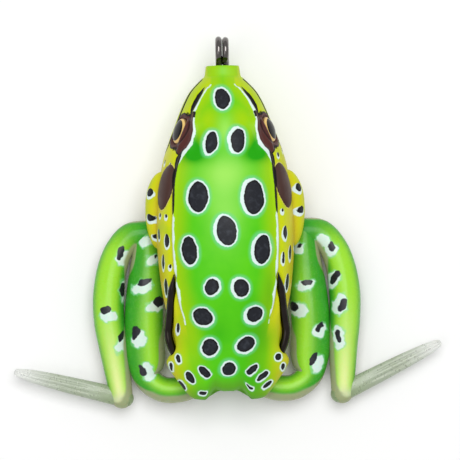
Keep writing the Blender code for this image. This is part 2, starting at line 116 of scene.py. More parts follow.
body_rows = [(y, r, NOSE_HEIGHT + r, NOSE_HEIGHT, NOSE_HEIGHT - r, 2.0, 2.0) for y, r in NOSE_CUP]
body_rows += list(flowing(TRUNK, ROWS_A_SPAN))
body_rows += [(y, half, TAIL_HEIGHT + h, TAIL_HEIGHT, TAIL_HEIGHT - h, 2.2, 2.2) for y, half, h in TAIL_END]
body_rows = np.array(body_rows)
sections = [half_section(row) for row in body_rows]
right_x = np.array([s[0] for s in sections])
right_z = np.array([s[1] for s in sections])
right_run = np.array([s[2] for s in sections])


def both_sides(right, sign):
    """Right half of each ring, then the left half back up to the middle of the back."""
    return np.hstack([right, sign * right[:, -2:0:-1]])


skin_x = both_sides(right_x, -1)
skin_z = both_sides(right_z, 1)
skin_run = both_sides(right_run, -1)           # run from the middle of the back, + to the right
skin_y = np.repeat(body_rows[:, :1], skin_x.shape[1], axis=1)
side_x = np.abs(skin_x)
side_run = np.abs(skin_run)


def outward(points):
    """Unit normals of a ring-by-ring skin, turned outwards."""
    round_ring = np.roll(points, -1, axis=1) - np.roll(points, 1, axis=1)
    along = np.gradient(points, axis=0)
    normal = np.cross(round_ring, along)
    normal /= np.maximum(np.linalg.norm(normal, axis=2, keepdims=True), 1e-9)
    middle = points.mean(axis=1, keepdims=True)
    return normal * np.sign(np.sum((points - middle) * normal))


def section_at(y):
    """Number of the body section nearest to y, behind the nose cup."""
    return np.argmin(np.abs(body_rows[:, 0] - y) + 99 * (body_rows[:, 0] > SNOUT_ROOT))


def run_to_width(xs, run, x):
    """Run round one section to where its upper side is x wide."""
    upper_side = slice(np.argmax(xs) + 1)
    return np.interp(x, xs[upper_side], run[upper_side])


def run_at_width(y, x):
    """Run round the skin to where the upper side is x wide, on the section at y."""
    row = section_at(y)
    return run_to_width(right_x[row], right_run[row], x)


def run_at_height(y, z):
    """Run round the skin to the height z, on the section at y."""
    row = section_at(y)
    return np.interp(-z, -right_z[row], right_run[row])


def bell(value, wide):
    """1 where the value is 0, fading to nothing some way past wide on either side."""
    return np.exp(-(value / wide) ** 2)


def glow(x, y, at_x, at_y, wide, long):
    """A soft round patch, 1 in the middle."""
    return np.exp(-((x - at_x) / wide) ** 2 - ((y - at_y) / long) ** 2)


def past(value, low=-math.inf, high=math.inf):
    """How far a value is outside low to high, and 0 between them."""
    return np.clip(low - value, 0, None) + np.clip(value - high, 0, None)


# Where the fold runs, as (y, x): from the nose, over the eyelid, and down the back.
FOLD_LINE = [(-24.0, 6.2), (-12.0, 7.0), (-9.4, 7.45), (-5.0, 8.3), (-1.4, 8.9), (6.0, 9.2), (11.7, 9.0),
             (15.0, 8.8), (18.9, 8.3), (20.4, 7.95), (21.3, 7.2), (22.4, 6.2), (23.8, 5.65), (25.2, 5.35),
             (27.0, 5.3), (28.4, 5.4), (30.5, 4.25), (32.4, 3.0), (33.4, 2.1), (37.0, 2.0)]
fold_x = np.interp(body_rows[:, 0], *np.array(FOLD_LINE).T)
fold_run = np.array([run_to_width(xs, run, x) for x, xs, run in zip(fold_x, right_x, right_run)])
off_fold = side_run - fold_run[:, None]        # + outside the fold, towards the flank

base = np.stack([skin_x, skin_y, skin_z], axis=2)
normal = outward(base)
lift = np.zeros_like(skin_x)

# The raised fold, strongest behind the eye and fading over the hips.
fold_strength = ease(skin_y, -11, -4) * (1 - ease(skin_y, 31, 34))
lift += 0.26 * fold_strength * bell(off_fold, 0.42)
lift -= 0.22 * fold_strength * bell(off_fold - 1.0, 0.6)

# Eyelids: a heavy brow with a groove along it, and below it a shallow socket for the eye.
EYE_PLACE = np.array([7.9, 25.0, 13.5])
EYE_LEAN, EYE_YAW = math.radians(62), math.radians(17)
eye_out = np.array([math.sin(EYE_LEAN) * math.cos(EYE_YAW), math.sin(EYE_LEAN) * math.sin(EYE_YAW),
                    math.cos(EYE_LEAN)])
eye_up = np.array([0, 0, 1.0]) - eye_out[2] * eye_out
eye_up /= np.linalg.norm(eye_up)
eye_fore = np.cross(eye_up, eye_out)
to_eye = np.stack([side_x, skin_y, skin_z], axis=2) - EYE_PLACE
eye_u, eye_v = to_eye @ eye_fore, to_eye @ eye_up
near_eye = (to_eye @ eye_out > -5) & (skin_z > 7)
brow = ease(eye_v, 1.2, 2.5) * (1 - ease(eye_v, 3.4, 5.8)) * (1 - ease(np.abs(eye_u + 0.2), 2.0, 4.4))
lift += np.where(near_eye, 0.7 * brow, 0)
socket = np.hypot(eye_u / 2.7, (eye_v + 0.2) / 2.2)
lift -= np.where(near_eye, 0.85 * ease(socket, 1.06, 0.8), 0)
crease = np.abs(np.hypot(eye_u / 3.5, eye_v / 3.1) - 1) * 3.1
lift -= np.where(near_eye & (eye_v > 0.4), 0.2 * bell(crease, 0.22), 0)
lift -= np.where(skin_z > 12, 0.28 * glow(side_x, skin_y, 4.9, 21.4, 2.0, 1.3), 0)

# Eardrums: a low polished dome behind each eye, in a fine groove.
DRUM_Y, DRUM_X, DRUM_Z, DRUM_LONG, DRUM_WIDE = 15.05, 10.75, 14.85, 3.95, 2.5
DRUM_LEAN = math.radians(56)
drum_along = skin_y - DRUM_Y
drum_round = ((side_x - DRUM_X) * math.cos(DRUM_LEAN) - (skin_z - DRUM_Z) * math.sin(DRUM_LEAN)
              + 0.11 * drum_along)
drum = np.hypot(drum_along / DRUM_LONG, drum_round / DRUM_WIDE)
lift += 0.42 * np.sqrt(np.clip(1 - drum ** 2, 0, 1)) - 0.16 * bell(drum - 1.05, 0.06)

# Forelimbs, moulded against the flanks, with a crease where they leave the body.
ARM_Y, ARM_Z = 12.6, 9.6
arm_along = np.where(skin_y > ARM_Y, (skin_y - ARM_Y) / 5.3, (skin_y - ARM_Y) / 8.6)
arm_round = (side_run - np.array([run_at_height(y, ARM_Z) for y in body_rows[:, 0]])[:, None]) / 2.6
arm = np.hypot(arm_along, arm_round + 0.2 * arm_along)
lift += 1.95 * np.clip(1 - arm ** 2, 0, 1) ** 0.6 - 0.22 * bell(arm - 1.04, 0.07)

# Mouth: a fine line pressed round the jaw, and two nostrils.
mouth_z = np.interp(skin_y, [20.5, 22.5, 27.0, 34.0], [9.4, 11.0, 11.5, 11.2])
off_mouth = np.hypot(skin_z - mouth_z, 3 * past(skin_y, 21.0, 34.2))
lift -= 0.2 * bell(off_mouth, 0.24)
nostril = np.hypot(side_x - 2.5, skin_y - 33.0)
lift -= np.where(skin_z > 11, 0.22 * bell(nostril, 0.3), 0)

# Double hook's wire, as the skin feels it: each point lies in a shallow groove on the flank.
HOOK_SIDE = [                       # (x, y, z) down the right leg of the hook, from the line tie, mm
    (0.62, 36.4, 10.0), (0.66, 34.0, 9.95), (0.8, 31.5, 9.7), (1.1, 27.5, 8.2), (1.25, 21.0, 5.7), (1.3, 14.0, 3.9),
    (1.3, 8.0, 3.5), (1.3, 0.0, 3.5), (1.3, -9.6, 3.5),
]
HOOK_POINT = [(10.3, -8.8, 13.3), (10.0, -6.4, 14.2), (9.75, -3.9, 15.3), (9.25, -0.5, 17.0)]
BEND_FROM = np.array([1.3, -10.6, 3.5])
BEND_RADIUS, BEND_TILT = 6.5, math.radians(45.5)
bend_out = np.array([math.sin(BEND_TILT), 0, math.cos(BEND_TILT)])
bend_turn = np.linspace(0, math.pi, 25)[:, None]
hook_bend = (BEND_FROM + bend_out * BEND_RADIUS * (1 - np.cos(bend_turn))
             - np.array([0, 1, 0]) * BEND_RADIUS * np.sin(bend_turn))
hook_front = flowing(HOOK_SIDE, 5)[:-1]
hook_tip = flowing([tuple(hook_bend[-1]), *HOOK_POINT], 6)[1:]
hook_side = np.vstack([hook_front, hook_bend, hook_tip])
PAST_POINT = [[-0.25, 0.9, 0.5]]    # the groove runs on this far past the point
groove_wire = np.vstack([hook_bend, hook_tip, hook_tip[-1:] + PAST_POINT])
mirrored = np.stack([side_x, skin_y, skin_z], axis=2)
to_wire = np.full(skin_x.shape, 99.0)
for near, far in zip(groove_wire, groove_wire[1:]):
    share = np.clip(((mirrored - near) @ (far - near)) / np.dot(far - near, far - near), 0, 1)
    to_wire = np.minimum(to_wire, np.linalg.norm(mirrored - near - share[..., None] * (far - near), axis=2))
lift -= 0.9 * ease(to_wire, 1.1, 0.3) * ease(skin_y, 0.6, -2.6)

# Tail: a dimple in front of each lobe, and the rear edge draws forward between the two.
scallop = (1 - ease(side_x, 2.2, 4.3)) * ease(skin_y, -16.5, -23.0)
lift -= np.where(skin_z > 10, 0.25 * glow(side_x, skin_y, 7.6, -13.2, 1.6, 2.6), 0)

skin_points = base + normal * lift[..., None]
HEAD_LEAN = 0.33                    # the crown sits a little to the right, mm


def leaned(points):
    """Leans the crown of the head to the right, as this moulding has set."""
    y, z = points[..., 1], points[..., 2]
    points[..., 0] += HEAD_LEAN * ease(y, 16, 22) * ease(y, 34, 30) * np.clip((z - 10) / 7, 0, 1)
    return points


leaned(skin_points)
skin_points[..., 1] += (1.55 + 0.4 * ease(side_x, 0.8, 2.4)) * scallop


def ring_mesh(name, points):
    """A closed smooth mesh over rings of points, given in mm."""
    rows, columns = points.shape[:2]
    corner = np.arange(rows * columns).reshape(rows, columns)
    near, far = corner[:-1], corner[1:]
    quads = np.stack([near, np.roll(near, -1, 1), np.roll(far, -1, 1), far], axis=2).reshape(-1, 4)
    faces = quads.tolist() + [corner[0, ::-1].tolist(), corner[-1].tolist()]
    normals = outward(points)
    a, b, c, d = (points.reshape(-1, 3)[quads[:, k]] for k in range(4))
    facing = np.sum(np.cross(c - a, d - b) * normals.reshape(-1, 3)[quads[:, 0]])
    if facing < 0:
        faces = [face[::-1] for face in faces]
    mesh = bpy.data.meshes.new(name)
    mesh.from_pydata((points.reshape(-1, 3) * MM).tolist(), [], faces)
    mesh.shade_smooth()
    piece = bpy.data.objects.new(name, mesh)
    bpy.context.scene.collection.objects.link(piece)
    return piece


def lay_paint(piece, **layers):
    """Stores each layer's value at every point of the skin, for the paint to read."""
    for name, values in layers.items():
        layer = piece.data.attributes.new(name, "FLOAT", "POINT")
        layer.data.foreach_set("value", np.ascontiguousarray(values, np.float32).ravel())


skin = ring_mesh("frog_skin", skin_points)
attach(skin, "body")
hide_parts("body_shell")

# ---------------------------------------------------------------------------
# Skin paint. Airbrushed in layers: lime and mint over green on the back, gold on the flanks, cream on
# the belly, then dark spots, each on a white ring with a soft blue-green edge, and a clear gloss coat.
# ---------------------------------------------------------------------------

# (x, y, half length, half width, lean in degrees from +X), mm; the large ones first
BACK_SPOTS = [
    (-0.4, 30.65, 1.85, 1.35, 90), (-2.55, 22.75, 2.0, 1.1, 76), (2.2, 23.05, 2.15, 1.25, 85),
    (-4.7, 13.2, 2.7, 1.75, 89), (5.2, 12.9, 3.05, 1.75, 90), (0.2, 7.1, 2.65, 1.8, 98),
    (-6.4, 3.65, 2.45, 1.35, 95), (6.5, 3.65, 2.6, 1.4, 83), (-2.55, -2.85, 1.5, 1.2, 73),
    (2.65, -3.05, 1.65, 1.3, 99), (-4.25, -8.1, 1.8, 1.5, 150), (4.95, -7.8, 1.5, 1.35, 57),
    (-3.15, -13.6, 1.5, 1.4, 69), (3.35, -13.2, 1.75, 1.2, 31), (0.1, -17.9, 1.6, 1.2, 78),
    (4.3, -17.9, 1.35, 0.6, 44), (-4.15, -18.2, 1.45, 0.7, 129), (-6.75, -19.05, 1.2, 0.6, 121),
    (6.15, -19.05, 1.25, 0.55, 41), (-8.3, -20.45, 1.0, 0.4, 126), (7.0, -20.6, 0.95, 0.35, 39),
    (-8.85, -15.65, 0.8, 0.4, 101), (9.05, -15.65, 0.65, 0.55, 69), (-10.15, -17.1, 0.8, 0.3, 96),
    (9.85, -17.5, 0.6, 0.3, 80), (3.8, -21.25, 0.6, 0.3, 178), (-4.6, -22.0, 0.7, 0.3, 171),
]
# How far each large spot's white ring is thrown to one side, as (x, y), mm
RING_THROW = [(0, 0), (-0.15, -0.05), (-0.35, 0.1), (-0.12, 0), (-0.35, 0.15), (-0.25, 0), (0, -0.1), (-0.3, 0),
              (0.1, 0), (-0.25, 0), (0.05, -0.1), (-0.3, -0.2), (0, -0.1), (-0.1, -0.1), (0, 0)]
# (x seen from above, y, half length, half width round the flank, lean), mm
FLANK_SPOTS = [
    (-11.9, 6.8, 1.0, 0.5, 89), (-10.5, 5.6, 1.2, 0.6, 89), (-11.2, 1.7, 1.4, 0.5, 84),
    (-10.8, -2.7, 1.55, 0.65, 89), (-8.8, -10.1, 0.9, 0.4, 84), (-13.0, 14.0, 0.8, 0.6, 46),
    (-13.2, 9.6, 0.65, 0.6, 55), (-13.2, 6.2, 0.6, 0.6, 35), (-9.8, 19.2, 0.35, 0.3, 89),
    (-10.7, 19.6, 0.35, 0.3, 89), (-10.5, 9.9, 0.35, 0.3, 89), (-11.6, 10.1, 0.35, 0.3, 89),
    (-10.0, 0.9, 0.35, 0.25, 89), (10.7, 6.7, 1.25, 0.55, 89), (11.5, 3.0, 1.4, 0.55, 89),
    (10.3, 2.1, 1.05, 0.3, 89), (10.9, -2.2, 1.6, 0.6, 79), (13.0, 14.5, 0.8, 0.6, 112),
    (13.2, 10.6, 0.65, 0.6, 96), (13.2, 4.2, 0.5, 0.5, 89), (9.5, 20.5, 0.35, 0.3, 89),
    (10.4, 21.4, 0.35, 0.25, 89), (10.3, 10.6, 0.35, 0.3, 89),
]
# The same on the lower flanks of both sides, as (height, y, half length, half width), mm
LOW_SPOTS = [(7.4, 26.5, 0.8, 0.5), (6.2, 21.5, 0.9, 0.6), (5.6, 15.5, 1.0, 0.6), (5.4, 9.0, 1.2, 0.6),
             (6.6, 3.0, 1.1, 0.6), (8.6, -1.0, 1.0, 0.55), (6.4, -5.0, 0.9, 0.5), (9.2, -8.5, 0.8, 0.45)]
EYELID = [(5.25, 28.2), (5.25, 26.4), (5.35, 24.8), (5.85, 23.1), (6.65, 21.8), (7.75, 20.85), (8.35, 20.65),
          (8.9, 21.8), (9.2, 23.2), (9.1, 24.5), (8.6, 25.7), (7.9, 26.7), (6.95, 27.5), (6.05, 28.1)]


def oval(x, y, at_x, at_y, long, short, lean):
    """Distance in mm outside (+) or inside (-) an oval mark."""
    c, s = math.cos(math.radians(lean)), math.sin(math.radians(lean))
    u = ((x - at_x) * c + (y - at_y) * s) / long
    v = ((y - at_y) * c - (x - at_x) * s) / short
    size = np.hypot(u, v)
    return size * (size - 1) / np.maximum(np.hypot(u / long, v / short), 1e-6)


def outline(x, y, corners):
    """Distance in mm outside (+) or inside (-) a closed outline."""
    least = np.full(x.shape, 99.0)
    inside = np.zeros(x.shape, bool)
    for (ax, ay), (bx, by) in zip(corners, corners[1:] + corners[:1]):
        share = np.clip(((x - ax) * (bx - ax) + (y - ay) * (by - ay)) / ((bx - ax) ** 2 + (by - ay) ** 2), 0, 1)
        least = np.minimum(least, np.hypot(x - ax - share * (bx - ax), y - ay - share * (by - ay)))
        if ay != by:
            inside ^= ((ay > y) != (by > y)) & (x < (bx - ax) * (y - ay) / (by - ay) + ax)
    return np.where(inside, -least, least)


FAR = 9.0                           # mm, too far from a mark for its paint to show
LARGE_RING, SMALL_RING = 0.48, 0.34
upper = skin_z > 9.6
black, white, halo = (np.full(skin_x.shape, FAR) for _ in range(3))
for number, (x, y, long, short, lean) in enumerate(BACK_SPOTS):
    large = number < len(RING_THROW)
    throw_x, throw_y = RING_THROW[number] if large else (0, -0.05)
    ring = LARGE_RING if large else SMALL_RING
    spot = np.where(upper, oval(skin_x, skin_y, x, y, long, short, lean), FAR)
    ringed = oval(skin_x, skin_y, x + throw_x, y + throw_y, long, short, lean)
    ringed = np.minimum(ringed - 0.6 * ring, spot - ring * 0.5)
    black = np.minimum(black, spot)
    white = np.minimum(white, np.where(upper, ringed, FAR))
    halo = np.minimum(halo, np.where(upper, ringed + (0 if large else 0.4), FAR))
for x, y, long, short, lean in FLANK_SPOTS:
    place = math.copysign(run_at_width(y, abs(x)) if abs(x) < 12.3 else run_at_height(y, 11.2), x)
    spot = oval(skin_run, skin_y, place, y, long, short, lean)
    black = np.minimum(black, spot)
    white = np.minimum(white, oval(skin_run, skin_y, place - 0.1, y - 0.28, long + 0.22, short + 0.2, lean))
for z, y, long, short in LOW_SPOTS:
    for sign in (-1, 1):
        at = y + 0.7 * sign
        place = sign * run_at_height(at, z)
        black = np.minimum(black, oval(skin_run, skin_y, place, at, long, short, 80))
        white = np.minimum(white, oval(skin_run, skin_y, place, at - 0.2, long + 0.22, short + 0.2, 80))

# The white line on the fold, and the black line outside it on the snout and behind the eye.
line_half = np.interp(skin_y, [-9.8, -7.0, 9.4, 10.8, 18.6, 20.2, 21.6, 23.5, 28.0, 33.0],
                      [0.05, 0.24, 0.24, 0.0, 0.0, 0.34, 0.4, 0.24, 0.2, 0.16])
fold_wave = 0.09 * np.sin(1.3 * skin_y) * (skin_y < 9)
line_in = off_fold + fold_wave + 0.6 * line_half * (skin_y > 18)
white = np.minimum(white, np.where(line_half > 0.01, np.abs(line_in) - line_half + 2 * past(skin_y, -9.6, 33.2), FAR))
stripe_half = np.interp(skin_y, [9.8, 10.6, 12.0, 16.0, 20.4, 21.6], [0.0, 0.36, 0.46, 0.58, 0.8, 0.2])
line = np.abs(off_fold - 0.42 * ease(skin_y, 8, 20) - 0.14) - stripe_half + 2 * past(skin_y, 10.0, 21.7)
snout_half = np.interp(skin_y, [28.2, 29.5, 31.5, 32.9], [0.3, 0.78, 0.7, 0.05])
line = np.minimum(line, np.abs(off_fold - 0.86) - snout_half + 2 * past(skin_y, 28.3, 32.9))
line = np.minimum(line, off_mouth - 0.46)

# The brown eyelid and ring round the eye, edged in black in front and behind, and the brown eardrum.
lid_edge = outline(side_x, skin_y, EYELID) + 3 * past(skin_z, 10.4)
lid = np.minimum(lid_edge, (socket - 1.2) * 2.3)
lid_rim = np.abs(lid - 0.05) - 0.14
line = np.minimum(line, lid_rim + 3 * past(skin_y, 27.1))
line = np.minimum(line, lid_rim + 3 * past(side_x, 8.2) + 3 * past(skin_y, high=24))
drum_edge = (drum - 1) * 2.8

# Sprayed colours, from 0 to 1: gold-green flanks, and lime, mint and deep green over the back, and painted shade on
# the tail.
front = ease(skin_y, -13, -7)
flank = ease(off_fold, -0.15, 0.25) * front + 0.75 * ease(side_x, 6.5, 10.5) * (1 - front)
flank *= (1 - 0.45 * ease(skin_y, 25.0, 31.5)) * (1 - 0.9 * ease(skin_y, 34.0, 35.2) * (side_x < 2.7))
# Painted shade: the rear slope of the tail is darkened towards its edge.
shade = ease(skin_y, -19.5, -23.0)
lime = 0.9 * ease(off_fold, -4.5, -0.2) * ease(skin_y, -26, -8)
lime = np.maximum(lime, 0.95 * glow(side_x, skin_y, 3.0, 26.8, 2.4, 3.0))
lime = np.maximum(lime, 0.9 * ease(side_x, 4.2, 8.2) * (1 - front))
lime = np.maximum(lime, 0.7 * ease(skin_y, 31.5, 34.0) * ease(side_x, 0.9, 3.0))
mint = 0.85 * glow(skin_x, skin_y, 0, 25.2, 1.3, 2.4) + 0.8 * glow(skin_x, skin_y, 0, 17.4, 5.0, 3.0)
mint += 0.55 * glow(skin_x, skin_y, 0, 10.5, 3.2, 6.0) + 0.4 * glow(skin_x, skin_y, 0.5, 35.6, 1.6, 0.9)
deep = 1.2 * glow(side_x, skin_y, 5.6, 20.6, 2.6, 1.4) + 0.9 * glow(side_x, skin_y, 5.4, 22.6, 1.1, 2.2)
deep += 0.7 * glow(skin_x, skin_y, 5.6, -11.5, 3.0, 6.0) + 0.5 * glow(skin_x, skin_y, 4.5, -19.8, 2.4, 2.2)
deep += 0.35 * glow(skin_x, skin_y, -1.5, -11.0, 2.2, 3.0) + 0.4 * glow(skin_x, skin_y, 7.8, -3.5, 1.2, 4.0)
gold = ease(skin_z, 16.5, 11.5) * ease(skin_y, 24, 12) * (1 - 0.8 * ease(1 - arm, -0.1, 0.15))
belly = ease(skin_z, 6.0, 3.0)
lay_paint(skin, line=line, black=black, white=white, halo=halo, lid=lid, drum=drum_edge, flank=flank,
          lime=lime, mint=mint, deep=deep, gold=gold, belly=belly, shade=shade,
          crease=np.where(near_eye & (eye_v > 0.2), crease, FAR))


def pigment(red, green, blue):
    """A paint colour from its 0 to 255 screen values."""
    return (*((c / 255 / 12.92 if c < 11 else ((c / 255 + 0.055) / 1.055) ** 2.4) for c in (red, green, blue)), 1.0)


def mix_in(tree, kind, *inputs, **settings):
    """One shader node. The inputs fill its sockets in order: a value, or another node's output."""
    node = tree.nodes.new("ShaderNode" + kind)
    for name, value in settings.items():
        setattr(node, name, value)
    for socket, value in zip(node.inputs, inputs):
        if isinstance(value, bpy.types.NodeSocket):
            tree.links.new(value, socket)
        elif value is not None:
            socket.default_value = value
    return node


def new_finish(name, **settings):
    """A named material with its shader's own settings."""
    material = bpy.data.materials.new(name)
    material.use_nodes = True
    shader = material.node_tree.nodes["Principled BSDF"]
    for socket, value in settings.items():
        shader.inputs[socket.replace("_", " ")].default_value = value
    return material, material.node_tree, shader


def in_mm(tree):
    """The piece's own coordinates, in mm."""
    place = mix_in(tree, "TexCoord").outputs["Object"]
    return mix_in(tree, "VectorMath", place, (1000, 1000, 1000), operation="MULTIPLY").outputs[0]


def grain(tree, place, scale, detail=2.0):
    """Cloudy noise from 0 to 1; scale is in waves a millimetre."""
    return mix_in(tree, "TexNoise", place, None, scale, detail, 0.55).outputs[0]


def layer(tree, name):
    """A paint layer's value, as lay_paint stored it."""
    return mix_in(tree, "Attribute", attribute_name=name).outputs["Fac"]


def over(tree, below, colour, cover):
    """Sprays a colour over the one below; cover runs from 0 to 1."""
    return mix_in(tree, "MixRGB", cover, below, colour).outputs[0]


def spread(tree, value, start, end, low=0.0, high=1.0):
    """Maps a value smoothly from start..end to low..high."""
    return mix_in(tree, "MapRange", value, start, end, low, high, interpolation_type="SMOOTHSTEP").outputs[0]


def ragged(tree, value, noise, reach):
    """Makes a mark's edge waver by up to reach either way, mm."""
    wander = mix_in(tree, "Math", noise, 0.5, operation="SUBTRACT").outputs[0]
    return mix_in(tree, "Math", wander, 2 * reach, value, operation="MULTIPLY_ADD").outputs[0]


def raise_by(tree, shader, height, distance, strength=1.0):
    """Feeds a height into the shader's bump."""
    bump = mix_in(tree, "Bump", strength, distance)
    tree.links.new(height, bump.inputs["Height"])
    tree.links.new(bump.outputs[0], shader.inputs["Normal"])


CHARCOAL = pigment(34, 36, 42)
INK = pigment(22, 20, 20)
CHALK = pigment(220, 238, 234)

material, tree, shader = new_finish("frog paint", Roughness=0.45, Specular_IOR_Level=0.12, Coat_Weight=0.08,
                                     Coat_Roughness=0.2)
place = in_mm(tree)
cloud = grain(tree, place, 0.22)
speck = grain(tree, place, 2.6, 3.0)
colour = over(tree, pigment(100, 210, 24), pigment(66, 192, 8), cloud)
colour = over(tree, colour, pigment(160, 208, 2), layer(tree, "lime"))
colour = over(tree, colour, pigment(154, 226, 84), layer(tree, "mint"))
colour = over(tree, colour, pigment(34, 164, 6), layer(tree, "deep"))
# Painted shade over the rear slope of the tail.
colour = over(tree, colour, pigment(98, 140, 40), mix_in(tree, "Math", layer(tree, "shade"), 0.6,
                                                         operation="MULTIPLY").outputs[0])
side = over(tree, pigment(204, 214, 14), pigment(210, 184, 40), layer(tree, "gold"))
side = over(tree, side, pigment(172, 206, 10), spread(tree, cloud, 0.5, 0.75, 0.0, 0.6))
colour = over(tree, colour, side, layer(tree, "flank"))
colour = over(tree, colour, pigment(238, 238, 214), layer(tree, "belly"))
colour = over(tree, colour, pigment(108, 208, 136), spread(tree, layer(tree, "halo"), 0.75, 0.0, 0.0, 0.75))
blotch = grain(tree, place, 0.55)
edge = ragged(tree, ragged(tree, layer(tree, "white"), speck, 0.1), blotch, 0.3)
colour = over(tree, colour, CHALK, spread(tree, edge, 0.1, -0.06))
colour = over(tree, colour, pigment(84, 46, 42), spread(tree, layer(tree, "lid"), 0.05, -0.05))
colour = over(tree, colour, pigment(46, 26, 27), spread(tree, layer(tree, "crease"), 0.3, 0.05, 0.0, 0.9))
colour = over(tree, colour, pigment(222, 206, 110), spread(tree, layer(tree, "drum"), 0.24, 0.1))
colour = over(tree, colour, pigment(48, 34, 30), spread(tree, layer(tree, "drum"), 0.13, 0.03))
brown = over(tree, pigment(84, 60, 54), pigment(62, 40, 36), cloud)
colour = over(tree, colour, brown, spread(tree, layer(tree, "drum"), 0.05, -0.05))
ink_edge = ragged(tree, ragged(tree, layer(tree, "black"), speck, 0.09), blotch, 0.3)
ink = over(tree, CHARCOAL, pigment(60, 64, 72), spread(tree, grain(tree, place, 1.1, 4.0), 0.45, 0.75, 0.0, 0.7))
ink = over(tree, ink, INK, spread(tree, ink_edge, -0.42, -0.12))
colour = over(tree, colour, ink, spread(tree, ink_edge, 0.05, -0.05))
colour = over(tree, colour, INK, spread(tree, ragged(tree, layer(tree, "line"), speck, 0.08), 0.05, -0.05))
tree.links.new(colour, shader.inputs["Base Color"])
tree.links.new(spread(tree, cloud, 0.3, 0.7, 0.36, 0.5), shader.inputs["Roughness"])
raise_by(tree, shader, speck, 0.00002, 0.35)
skin.data.materials.append(material)

# ---------------------------------------------------------------------------
# Eyes. A domed acrylic cabochon in each socket: black pupil, gold iris and a dark edge, printed on the
# back, seen through the clear dome, and held with a drop of glue.
# ---------------------------------------------------------------------------

EYE_LONG, EYE_TALL, EYE_DOME = 2.42, 2.0, 0.95
material, tree, shader = new_finish("frog eye", Roughness=0.15, Specular_IOR_Level=0.25, Coat_Weight=0.15)
iris = layer(tree, "iris")
place = in_mm(tree)
colour = over(tree, pigment(246, 214, 140), pigment(226, 184, 96), grain(tree, place, 3.0))
colour = over(tree, colour, pigment(120, 84, 40), spread(tree, layer(tree, "rim"), 0.9, 0.97))
colour = over(tree, colour, pigment(14, 12, 12), spread(tree, iris, 1.03, 0.97))
tree.links.new(colour, shader.inputs["Base Color"])
for side_name, sign in (("left", -1), ("right", 1)):
    tilt = np.linspace(0, math.pi, 29)[:, None]
    round_eye = np.linspace(0, 2 * math.pi, 49)[None, :-1]
    u = EYE_LONG * np.sin(tilt) * np.cos(round_eye)
    v = EYE_TALL * np.sin(tilt) * np.sin(round_eye)
    w = EYE_DOME * np.cos(tilt) * np.ones_like(round_eye)
    ball = EYE_PLACE - 0.05 * eye_out + u[..., None] * eye_fore + v[..., None] * eye_up + w[..., None] * eye_out
    ball = leaned(ball[1:-1] * (sign, 1, 1))
    eye = ring_mesh(f"{side_name}_eye_dome", ball)
    eye.data.materials.append(material)
    pupil = np.hypot((u - 0.05) / 1.95, (v + 0.25) / 1.72)[1:-1]
    lay_paint(eye, iris=np.where(w[1:-1] > -0.1, pupil, 2.0), rim=np.hypot(u / EYE_LONG, v / EYE_TALL)[1:-1])
    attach(eye, "body")
    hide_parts(f"{side_name}_eye")

# ---------------------------------------------------------------------------
# Double hook. One length of high-carbon wire: two turns make the line-tie eye, the pair of legs runs
# back under the belly, and each is forged, bent round and drawn to a needle point on the flank.
# ---------------------------------------------------------------------------

WIRE, FORGED, SHARPENED = 0.59, 0.76, 3.4      # radius as drawn and as forged; length of the taper, mm
EYE_CENTRE = np.array([0, 39.5, NOSE_HEIGHT])
EYE_LOOP, EYE_APART = 1.88, 0.62               # radius of each turn; half the step between the two
turn = np.radians(np.linspace(30, 690, 73))
loop_reach = EYE_LOOP + 0.12 * ease(turn, 5.0, 7.5)
eye_turns = EYE_CENTRE + np.stack([
    EYE_APART * (1 - 2 * ease(turn, 5.1, 7.5)), -loop_reach * np.cos(turn), -loop_reach * np.sin(turn)], axis=1)
hook_left = hook_side * (-1, 1, 1)
wire_path = np.vstack([hook_left[::-1], eye_turns[::-1], hook_side])
to_tip = np.minimum(np.linalg.norm(wire_path - wire_path[0], axis=1),
                    np.linalg.norm(wire_path - wire_path[-1], axis=1))
forged = np.maximum(ease(wire_path[:, 1], -5.6, -10.6), np.abs(wire_path[:, 0]) > 3.9)
wire_radius = (WIRE + (FORGED - WIRE) * forged) * np.clip(to_tip / SHARPENED, 0.06, 1) ** 0.8
bent_wire = bpy.data.curves.new("hook_wire", "CURVE")
bent_wire.dimensions = "3D"
bent_wire.bevel_depth = 1.0
bent_wire.bevel_resolution = 5
bent_wire.use_fill_caps = True
run_of_wire = bent_wire.splines.new("POLY")
run_of_wire.points.add(len(wire_path) - 1)
run_of_wire.points.foreach_set("co", np.hstack([wire_path * MM, np.ones((len(wire_path), 1))]).ravel())
run_of_wire.points.foreach_set("radius", wire_radius * MM)
run_of_wire.use_smooth = True
hook = bpy.data.objects.new("hook_wire", bent_wire)
bpy.context.scene.collection.objects.link(hook)
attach(hook, "body")
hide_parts("double_hook")

material, tree, shader = new_finish("black nickel", Metallic=1.0, Roughness=0.2)
place = in_mm(tree)
along = mix_in(tree, "SeparateXYZ", place).outputs[1]
plating_and_painted_eye_sheen = over(tree, pigment(44, 40, 38), pigment(66, 60, 56), grain(tree, place, 0.5))
# Painted sheen: the same plating is made lighter and more reflective from y 33 to 37, so the line-tie eye shines
# brighter than the legs of the hook.
plating_and_painted_eye_sheen = over(tree, plating_and_painted_eye_sheen, pigment(118, 114, 112), spread(tree, along, 33.0, 37.0))
tree.links.new(plating_and_painted_eye_sheen, shader.inputs["Base Color"])
tree.links.new(spread(tree, grain(tree, place, 1.4), 0.3, 0.7, 0.08, 0.18), shader.inputs["Roughness"])
raise_by(tree, shader, grain(tree, place, 5.0, 3.0), 0.00001, 0.4)
bent_wire.materials.append(material)

# ---------------------------------------------------------------------------
# Keel, rattle and sockets. The cast weight is held on the hook's legs and shows through the belly; the
# clear rattle with its balls lies on it; the leg plate is inside the tail and its pins carry the legs.
# ---------------------------------------------------------------------------


def dress(node, material):
    """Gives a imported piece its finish."""
    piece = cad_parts[node]
    piece.data.materials.clear()
    piece.data.materials.append(material)


